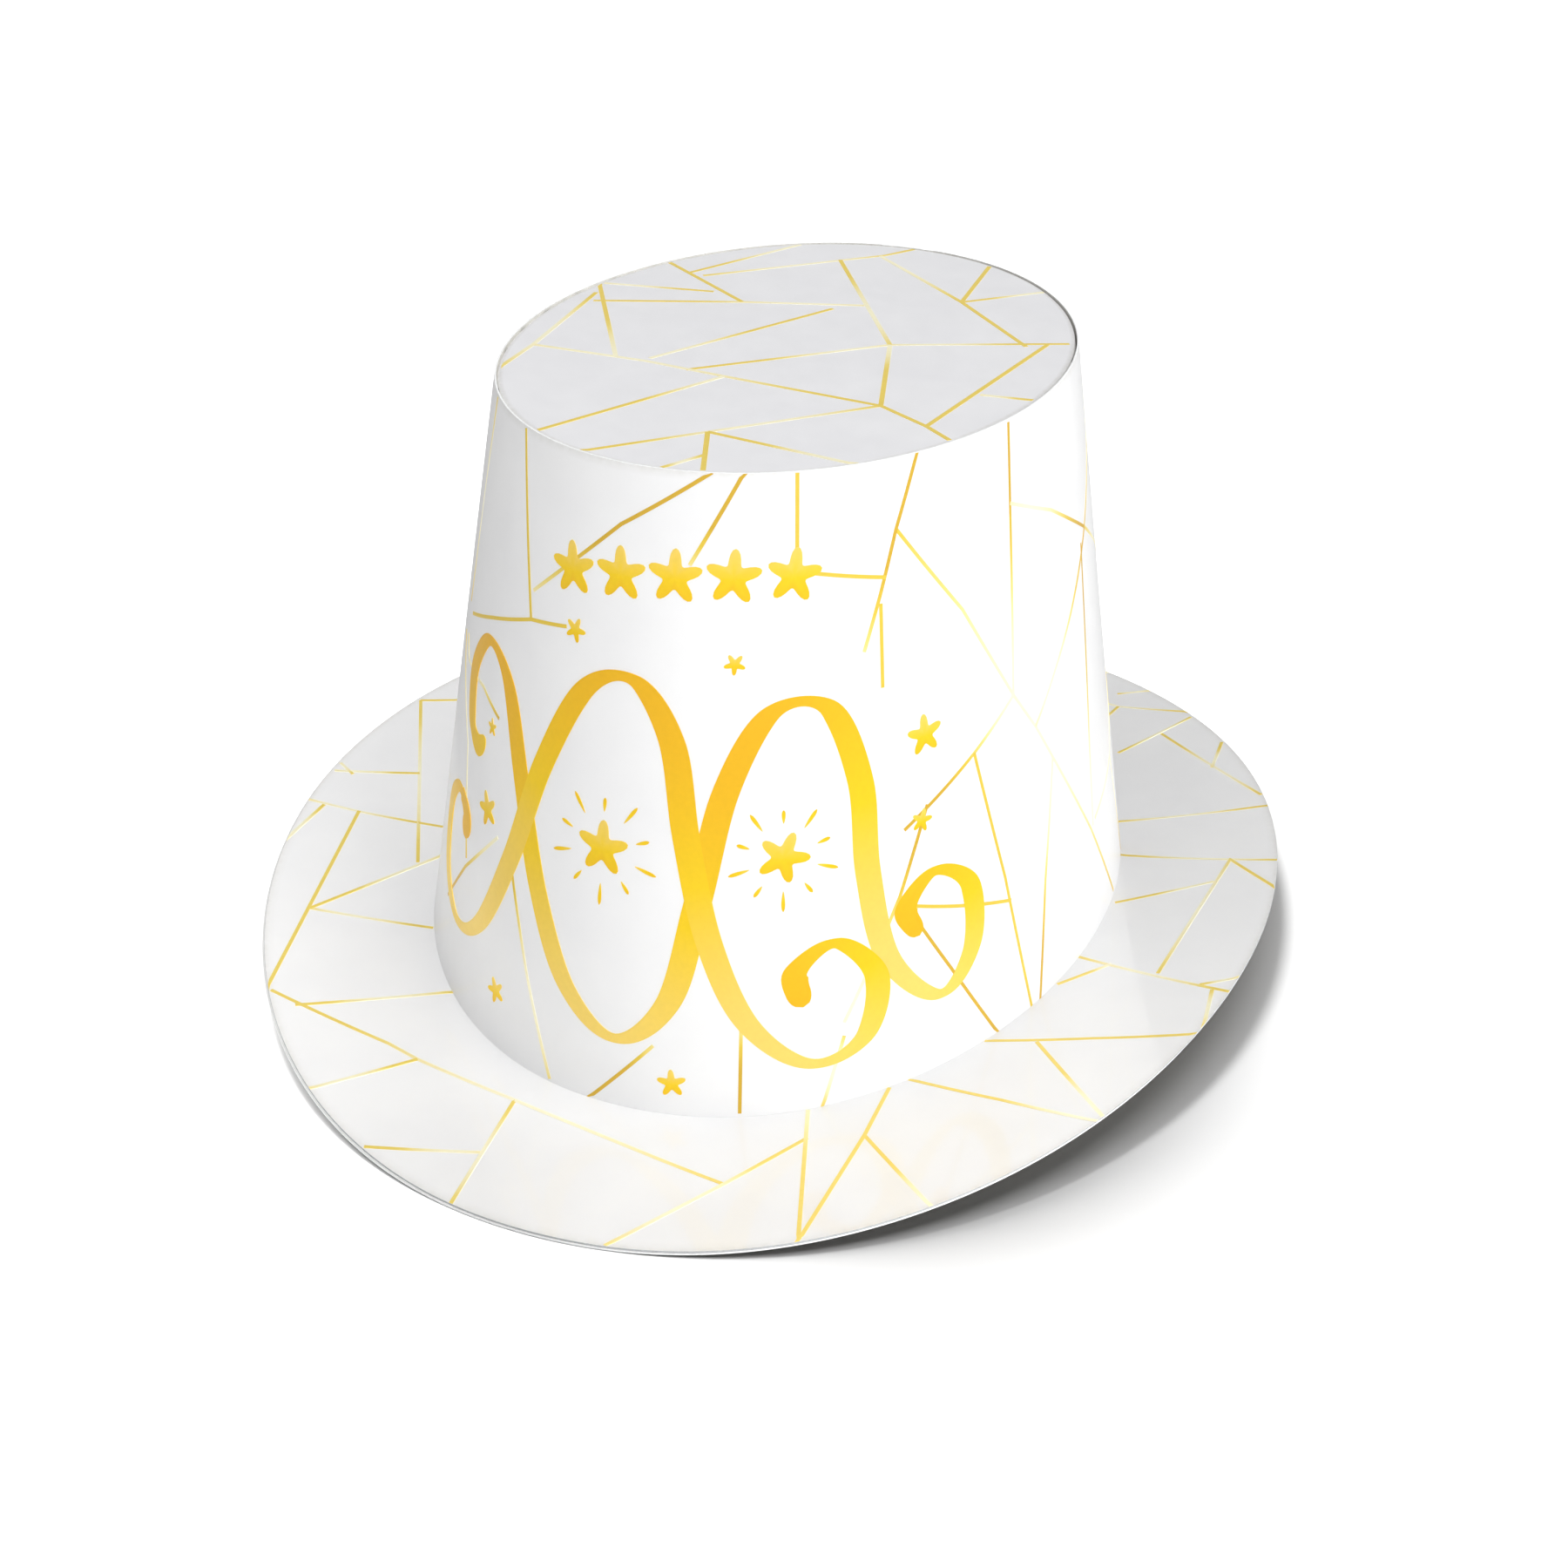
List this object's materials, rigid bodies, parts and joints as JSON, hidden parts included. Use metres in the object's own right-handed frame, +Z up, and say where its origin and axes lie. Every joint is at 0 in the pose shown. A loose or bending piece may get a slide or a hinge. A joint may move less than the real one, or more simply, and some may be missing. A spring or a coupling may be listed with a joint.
{
  "type": "card top hat",
  "caption": "Party top hat in glossy white card: oval crown tapering to a flat top, lapped seam at the back, two-ply oval brim with curled sides and an inner head band.",
  "frame": {"origin": "on the surface that the brim stands on, under the middle of the crown", "axes": "+Z up through the crown's flat top, -Y the hat's front, +Y the back with the crown's lapped seam, X across the hat towards the sides that curl up"},
  "size_m": [0.236, 0.292, 0.1348],
  "materials": {
    "printed_card": "gloss-coated white card",
    "plain_card": "uncoated matt white card",
    "gold_foil": "hot-stamped gold foil print"
  },
  "bodies": {
    "root": {"crown_wall": "printed_card", "crown_top": "printed_card", "brim_top": "printed_card", "brim_under": "plain_card", "head_band": "plain_card"}
  },
  "joints": []
}
